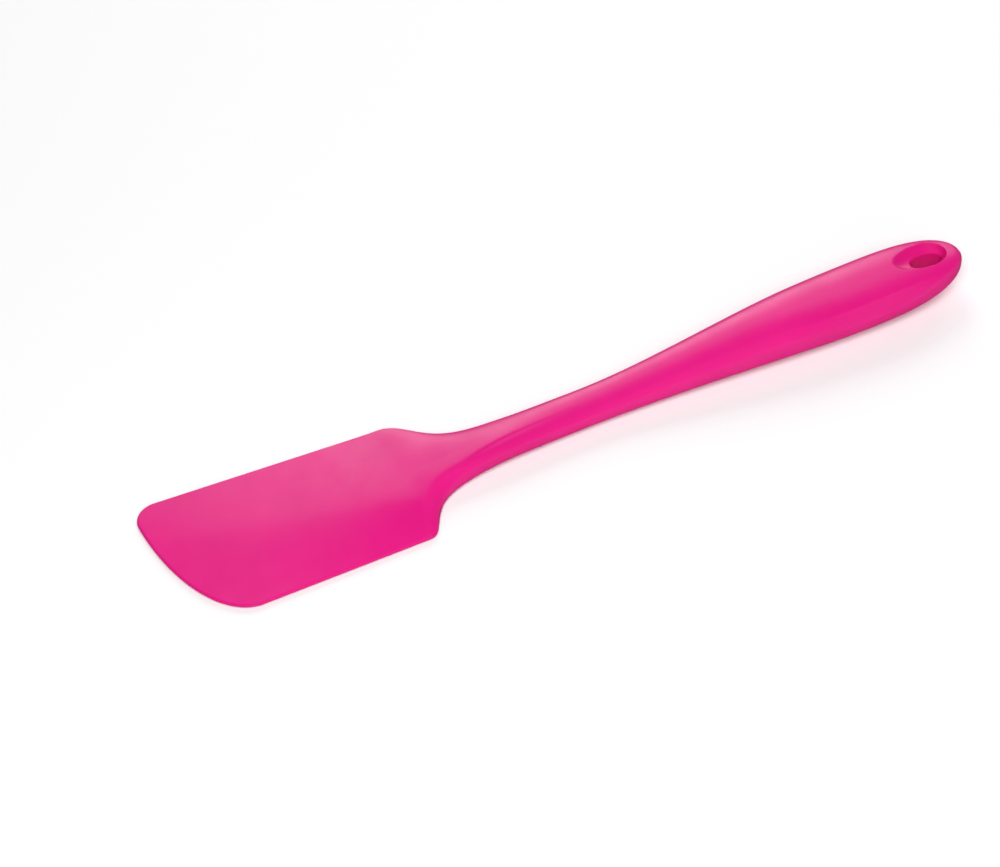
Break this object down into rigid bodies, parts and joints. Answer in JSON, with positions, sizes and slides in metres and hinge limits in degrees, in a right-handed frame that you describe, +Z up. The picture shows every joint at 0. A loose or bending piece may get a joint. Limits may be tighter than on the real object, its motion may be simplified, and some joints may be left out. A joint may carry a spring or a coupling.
{
  "type": "silicone spatula",
  "caption": "Kitchen spatula with a thin swept silicone blade, a slim neck and a swelling rounded handle with an oval hanging hole in a dish.",
  "frame": {"origin": "centre of the bounding box's bottom face, on the surface that the spatula lies on", "axes": "+X along the length from the blade's tip to the handle's end, +Y to the blade's pointed corner, +Z up from the blade's flat back to its crowned face"},
  "size_m": [0.2796, 0.0538, 0.0149],
  "materials": {
    "silicone": "satin, dyed through",
    "nylon": "moulded, matt",
    "spring_steel": "cold rolled"
  },
  "bodies": {
    "root": {"skin_upper": "silicone", "skin_lower": "silicone", "core_handle": "nylon", "core_strip": "spring_steel"}
  },
  "joints": []
}
